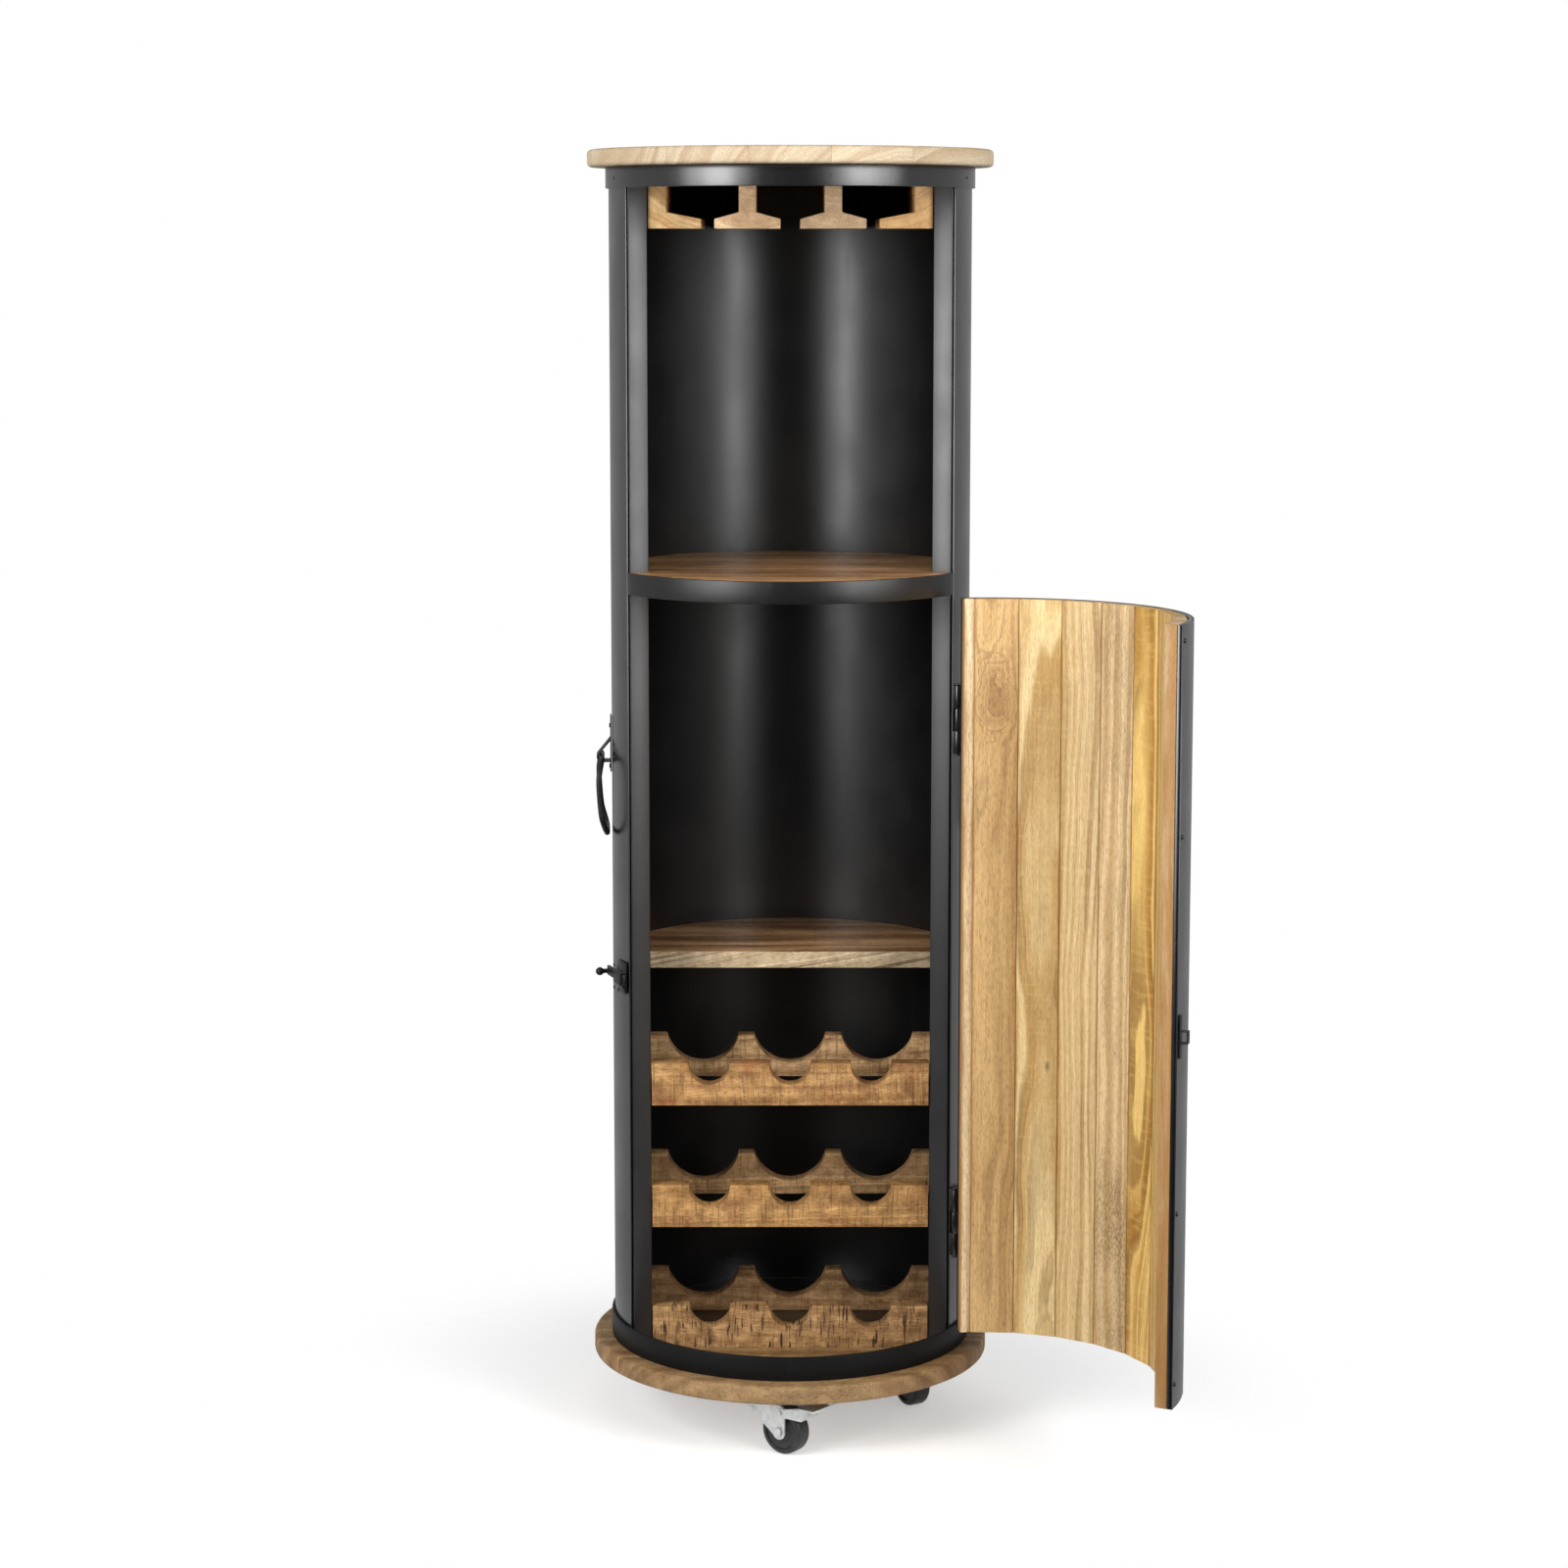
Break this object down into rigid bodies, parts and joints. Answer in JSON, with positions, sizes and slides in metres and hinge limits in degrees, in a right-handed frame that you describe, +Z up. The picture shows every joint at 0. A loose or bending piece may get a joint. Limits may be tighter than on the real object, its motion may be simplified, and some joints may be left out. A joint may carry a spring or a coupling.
{
  "type": "wine cabinet",
  "caption": "Round drum wine cabinet on swivel casters, with a hinged stave door, slide bolt, bottle racks, shelves and hanging rails for stemware.",
  "frame": {"origin": "middle of the whole object's box, door open, on the floor under its wheels", "axes": "+Z up along the drum, -Y out of the drum's opening, +X towards the door's hinges"},
  "size_m": [0.6156, 0.5898, 1.3706],
  "materials": {
    "mango_wood": "rough-sawn, oiled",
    "shelf_wood": "dark oiled",
    "stave_wood": "clear satin lacquer",
    "black_paint": "satin powder coat",
    "black_iron": "satin black",
    "zinc_plate": "bright zinc plate",
    "black_rubber": "matt"
  },
  "bodies": {
    "cabinet": {"base_board": "mango_wood", "top_board": "mango_wood", "drum_shell": "black_paint", "top_hoop": "black_paint", "bottom_hoop": "black_paint", "mid_rail": "black_paint", "left_jamb": "black_paint", "right_jamb": "black_paint", "upper_shelf": "shelf_wood", "lower_shelf": "shelf_wood", "rack_1_front_bar": "mango_wood", "rack_1_back_bar": "mango_wood", "rack_2_front_bar": "mango_wood", "rack_2_back_bar": "mango_wood", "rack_3_front_bar": "mango_wood", "rack_3_back_bar": "mango_wood", "glass_rail_left": "mango_wood", "glass_rail_right": "mango_wood", "glass_rail_left_side": "mango_wood", "glass_rail_right_side": "mango_wood", "lower_hinge_frame_leaf": "black_iron", "lower_hinge_pin": "black_iron", "upper_hinge_frame_leaf": "black_iron", "upper_hinge_pin": "black_iron", "latch_guide": "black_iron", "left_handle_strap": "black_iron", "right_handle_strap": "black_iron", "caster_front_plate": "zinc_plate", "caster_right_plate": "zinc_plate", "caster_rear_plate": "zinc_plate", "caster_left_plate": "zinc_plate"},
    "door": {"door_stave_1": "stave_wood", "door_stave_2": "stave_wood", "door_stave_3": "stave_wood", "door_stave_4": "stave_wood", "door_stave_5": "stave_wood", "door_stave_6": "stave_wood", "door_stave_7": "stave_wood", "door_stave_8": "stave_wood", "door_frame": "black_paint", "door_skin": "black_paint", "latch_keeper": "black_iron", "lower_hinge_door_leaf": "black_iron", "upper_hinge_door_leaf": "black_iron"},
    "bolt": {"latch_bolt": "black_iron"},
    "left_bail": {"left_handle_bail": "black_iron"},
    "right_bail": {"right_handle_bail": "black_iron"},
    "front_caster": {"caster_front_fork": "zinc_plate", "caster_front_axle": "zinc_plate"},
    "front_wheel": {"caster_front_wheel": "black_rubber"},
    "front_brake": {"caster_front_brake": "zinc_plate"},
    "right_caster": {"caster_right_fork": "zinc_plate", "caster_right_axle": "zinc_plate"},
    "right_wheel": {"caster_right_wheel": "black_rubber"},
    "rear_caster": {"caster_rear_fork": "zinc_plate", "caster_rear_axle": "zinc_plate"},
    "rear_wheel": {"caster_rear_wheel": "black_rubber"},
    "left_caster": {"caster_left_fork": "zinc_plate", "caster_left_axle": "zinc_plate"},
    "left_wheel": {"caster_left_wheel": "black_rubber"}
  },
  "joints": [
    {"name": "door_hinge", "type": "hinge", "parent": "cabinet", "child": "door", "pos_m": [0.0836, -0.01233, 0.5], "axis": [0, 0, 1], "range_deg": [-126, 30]},
    {"name": "bolt_slide", "type": "slide", "parent": "cabinet", "child": "bolt", "axis": [0.3249, -0.9457, 0], "range_m": [0, 0.018]},
    {"name": "left_bail_swing", "type": "hinge", "parent": "cabinet", "child": "left_bail", "pos_m": [-0.29591, 0.06997, 0.725], "axis": [-0.0489, 0.9988, 0], "range_deg": [0, 90]},
    {"name": "right_bail_swing", "type": "hinge", "parent": "cabinet", "child": "right_bail", "pos_m": [0.11021, 0.08983, 0.725], "axis": [0.0489, -0.9988, 0], "range_deg": [0, 90]},
    {"name": "front_swivel", "type": "hinge", "parent": "cabinet", "child": "front_caster", "pos_m": [-0.1189, -0.06782, 0.06], "axis": [0, 0, 1], "continuous": true},
    {"name": "front_roll", "type": "hinge", "parent": "front_caster", "child": "front_wheel", "pos_m": [-0.09733, -0.08407, 0.025], "axis": [0.6018, 0.7986, 0], "continuous": true},
    {"name": "front_brake_press", "type": "hinge", "parent": "front_caster", "child": "front_brake", "pos_m": [-0.09454, -0.08618, 0.047], "axis": [0.6018, 0.7986, 0], "range_deg": [0, 24]},
    {"name": "right_swivel", "type": "hinge", "parent": "cabinet", "child": "right_caster", "pos_m": [0.05487, 0.05385, 0.06], "axis": [0, 0, 1], "continuous": true},
    {"name": "right_roll", "type": "hinge", "parent": "right_caster", "child": "right_wheel", "pos_m": [0.04137, 0.07723, 0.025], "axis": [-0.866, -0.5, 0], "continuous": true},
    {"name": "rear_swivel", "type": "hinge", "parent": "cabinet", "child": "rear_caster", "pos_m": [-0.0668, 0.22762, 0.06], "axis": [0, 0, 1], "continuous": true},
    {"name": "rear_roll", "type": "hinge", "parent": "rear_caster", "child": "rear_wheel", "pos_m": [-0.0533, 0.20424, 0.025], "axis": [0.866, 0.5, 0], "continuous": true},
    {"name": "left_swivel", "type": "hinge", "parent": "cabinet", "child": "left_caster", "pos_m": [-0.24057, 0.10595, 0.06], "axis": [0, 0, 1], "continuous": true},
    {"name": "left_roll", "type": "hinge", "parent": "left_caster", "child": "left_wheel", "pos_m": [-0.2205, 0.12401, 0.025], "axis": [-0.6691, 0.7431, 0], "continuous": true}
  ]
}
